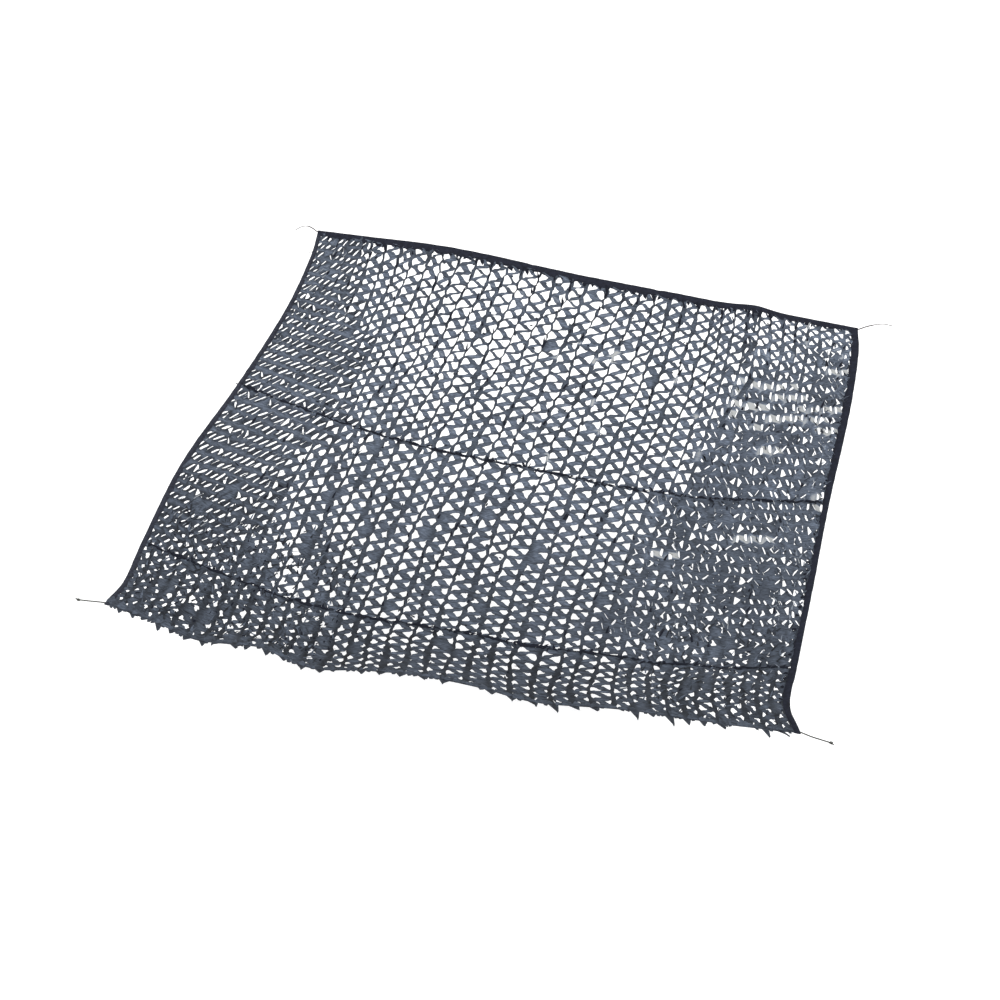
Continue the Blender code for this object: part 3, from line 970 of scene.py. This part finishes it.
# near-black scraps over the net, painted shade at tucks, curled ends and twisted spines
rows = []
x = 0.02
while x < CLOTH - 0.03:  # tucks of net where it is gathered under the far binding
    rows.append((x, -FAR_BINDING + 0.004, between(0.008, 0.034), between(0.01, 0.026),
                 -UPRIGHT + between(-0.7, 0.7), 0.001, between(-0.003, 0.005)))
    x += between(0.012, 0.06)
for x in (2.448, 2.452):  # and two long ones at the crease
    rows.append((x, -FAR_BINDING + 0.004, 0.085, 0.04, -UPRIGHT - 0.05, 0.001, 0.002))
for _ in range(60):  # by the right binding
    y = -between(0.05, 2.9)
    rows.append((CLOTH - RIGHT_BINDING + 0.003, y, between(0.008, 0.022), between(0.008, 0.02),
                 pi + between(-0.8, 0.8), 0.001, between(-0.002, 0.005)))
for _ in range(150):  # small tucks in the slack cloth by the near left corner
    rows.append((between(0.04, 0.95), -between(2.2, 2.94), between(0.01, 0.03), between(0.003, 0.009),
                 rng.gauss(1.4, 0.7), 0.002, between(0.002, 0.008)))
for _ in range(150):  # curled ends, most of them toward the right side
    x = 0.08 + 2.84 * rng.random() ** 0.75
    rows.append((x, -between(0.07, 2.9), between(0.01, 0.026), between(0.004, 0.01),
                 between(0, 2 * pi), 0.003, between(0.002, 0.01)))
columns = columns_across()
for _ in range(330):  # places where a spine is twisted edge on
    down = 0.02 + 0.8 * rng.random() ** 1.7
    along = rng.choice(columns[2:-1])
    loose = 1 - tightness(along, down)
    if rng.random() < 0.25 + loose:
        x = along * CLOTH + sideways(along, down) + wander(along, down, loose)
        length = between(0.02, 0.062)
        rows.append((x + between(-0.004, 0.004), -down * CLOTH, length, between(0.005, 0.013),
                     UPRIGHT + between(-0.35, 0.35), 0.004, between(0.003, 0.008)))
# two ends that stick out past the left binding
rows.append((0.004, -0.175, 0.036, 0.003, pi + 0.5, 0.001, -0.002))
rows.append((0.002, -1.345, 0.014, 0.008, pi + 0.3, 0.001, 0.001))
scraps("painted_shade_gathers_and_curls", rows, seam_and_shade_cloth)

# torn strips of the net's own cloth, each with its tone
strips = []
for k in range(760):  # in the slack cloth toward both near corners
    left = k < 520
    x = between(0.04, 0.95) if left else CLOTH - between(0.05, 0.8)
    y = -between(2.05 if left else 2.25, 2.96)
    if ruffled(x / CLOTH, -y / CLOTH) > 0.25:
        row = (x, y, between(0.02, 0.06), between(0.003, 0.01), rng.gauss(1.35, 0.55),
               0.002, between(0.001, 0.008))
        strips.append((row, rng.choice((0.15, 0.22, 0.35, 0.55, 0.95))))
for _ in range(260):  # frayed strips by the right binding
    row = (CLOTH - RIGHT_BINDING - 0.16 * rng.random() ** 1.6, -between(0.06, 2.6),
           between(0.014, 0.045), between(0.003, 0.009), UPRIGHT + between(-0.9, 0.9),
           0.002, between(0.001, 0.008))
    strips.append((row, rng.choice((0.3, 0.6, 0.9, 1.5))))
for k in range(900):  # edges of closed leaves: painted shade on one side of each and a painted highlight on the other
    left = k < 480
    u = between(0.012, 0.22) if left else between(0.7, 0.975)
    v = between(0.03, 0.8)
    if tightness(u, v) < 0.5:
        continue
    painted_glint = rng.random() < (0.4 if left else 0.35)
    slant = radians(rng.gauss(62 if left else 112, 9))
    row = (u * CLOTH, -v * CLOTH, between(0.022, 0.046),
           between(0.0022, 0.004) if painted_glint else between(0.004, 0.009),
           slant, 0.003, between(0.003, 0.007))
    strips.append((row, between(1.5, 2.0) if painted_glint else between(0.28, 0.55)))
x = 0.02
while x < CLOTH - 0.03:  # cut ends folded up against the near edge, most in its slack left part
    u = x / CLOTH
    if rng.random() < (0.95 if u < 0.3 else 0.85 if u < 0.72 else 0.6):
        row = (x, -CLOTH + 0.003, between(0.018, 0.05) * (1.25 if u < 0.3 else 1.0),
               between(0.014, 0.04), UPRIGHT + between(-0.35, 0.35), 0.002, between(0.001, 0.007))
        strips.append((row, between(0.38, 0.8)))
    x += between(0.006, 0.022)
tones = np.repeat([tone for _, tone in strips], 2 * SCRAP_SIDES)
scraps("torn_strips", [row for row, _ in strips], cloth, tones)
# dark strips along the crease at the top right: painted shade
creases = (
    (2.465, -0.25, 0.2, 0.024, -1.94, 0.003, 0.006),
    (2.478, -0.48, 0.245, 0.03, -1.87, 0.003, 0.006),
    (2.45, -0.06, 0.14, 0.018, -1.6, 0.002, 0.005),
    (2.42, -0.22, 0.11, 0.016, -1.25, 0.003, 0.005),
    (2.4, -0.7, 0.15, 0.022, -1.8, 0.003, 0.006),
)
scraps("crease_shade_strips", creases, cloth, (0.3, 0.62, 0.35, 0.75, 0.3))


# ---- ties
POINT_SPACING = 0.0016
TWINE = 0.0064  # across the outsides of its strands; it measures a little over 4 mm thick where unworn
KNOT_TWINE = 0.0068
LAY_LENGTH = 0.013
WORN = 0.4  # how much thinner a bare end is
STRAND_SIDES = 6


def route_of(start, steps):
    """Close points on a smooth curve through the tie's own points."""
    points = np.array(start) + np.array(steps)
    stations = np.concatenate(([0], np.cumsum(norm(np.diff(points, axis=0), axis=1))))
    count = max(round(stations[-1] / POINT_SPACING), 2)
    places = np.linspace(0, stations[-1], count + 1)
    return np.stack([smooth(stations, points[:, axis], places) for axis in range(3)], 1)


def frames_along(path):
    """Two unit vectors across the path at each of its points, without twist."""
    directions = np.gradient(path, axis=0)
    directions /= norm(directions, axis=1)[:, None]
    one = np.cross(directions[0], (0, 0, 1.0))
    one /= norm(one)
    made = []
    for d in directions:
        one = one - d * (one @ d)
        one /= norm(one)
        made.append((one.copy(), np.cross(d, one)))
    return made


def rope(name, path, diameter, material, worn=0.0):
    """Three strands laid round each other along the path, the last half thinner by its wear."""
    frames = frames_along(path)
    strand = diameter / 2 / 1.75
    offset = diameter / 2 - strand
    length = np.concatenate(([0], np.cumsum(norm(np.diff(path, axis=0), axis=1))))
    points, faces = [], []
    for s in range(3):
        first = len(points)
        for n, place in enumerate(path):
            one, two = frames[n]
            turn = 2 * pi * (length[n] / LAY_LENGTH + s / 3)
            thin = 1 - worn * ease(0.35, 0.6, length[n] / length[-1])
            middle = place + offset * thin * (cos(turn) * one + sin(turn) * two)
            thick = strand * thin * (1.0 + 0.08 * wobble(length[n] * 300, s, 41))
            for q in range(STRAND_SIDES):
                a = 2 * pi * q / STRAND_SIDES
                points.append(middle + thick * (cos(a) * one + sin(a) * two))
        faces += tube_faces(first, len(path), STRAND_SIDES)
    made = mesh_object(name, points, faces, material)
    shade_smooth(made.data)
    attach(made, "root")
    return made


def knot(name, path, diameter, material):
    """A small overhand knot on the end of the path: two turns of the cord and its short tail."""
    end = path[-1]
    one, two = frames_along(path)[-1]
    along = (path[-1] - path[-2]) / norm(path[-1] - path[-2])
    coil = []
    for n in range(49):
        t = n / 48
        turn = 2 * pi * 2.1 * t
        radius = diameter * (0.95 - 0.25 * cos(2 * pi * t))
        out = cos(turn) * one + sin(turn) * two
        coil.append(end + along * (diameter * (1.9 * t - 1.6)) + radius * 0.62 * out)
    for n in range(1, 9):
        coil.append(coil[48] + (along * 0.7 + one * 0.5 - two * 0.3) * 0.0012 * n)
    return rope(name, np.array(coil), diameter * 0.85, material)


grey_twine = clouded_material("tie_twine_grey", (0.05, 0.052, 0.044), 900.0, 0.6, 0.5)
brown_twine = clouded_material("tie_twine_brown", (0.036, 0.022, 0.022), 900.0, 0.6, 0.5)
for name, lay, seat, steps in TIES:
    path = route_of(seat, steps)
    taut = lay == "taut"
    twine = grey_twine if taut else brown_twine
    piece = rope(name + "_cord", path, TWINE, twine, 0.0 if taut else WORN)
    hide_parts(name)
    length = float(norm(np.diff(path, axis=0), axis=1).sum())
    if taut:
        tied = knot(name + "_knot", path, KNOT_TWINE, twine)


# ---- floor and light
FLOOR = -2.3
pale, _, pale_shader = nodes_of("floor_white", (0.72, 0.72, 0.72), 0.9)
pale_shader.inputs["Emission Color"].default_value = (1, 1, 1, 1)
pale_shader.inputs["Emission Strength"].default_value = 0.6
corners = [(-40, -40, FLOOR), (40, -40, FLOOR), (40, 60, FLOOR), (-40, 60, FLOOR)]
floor = mesh_object("floor", corners, [(0, 1, 2, 3)], pale)

world = bpy.data.worlds.new("studio")
scene.world = world
world.use_nodes = True
background = world.node_tree.nodes["Background"].inputs
background["Color"].default_value = (1, 1, 1, 1)
background["Strength"].default_value = 0.5
sun = bpy.data.lights.new("key", "SUN")
sun.energy = 2.5
sun.angle = radians(35)
key = placed("key", sun)
key.rotation_euler = (radians(25), radians(10), 0)
scene.view_settings.view_transform = "Standard"
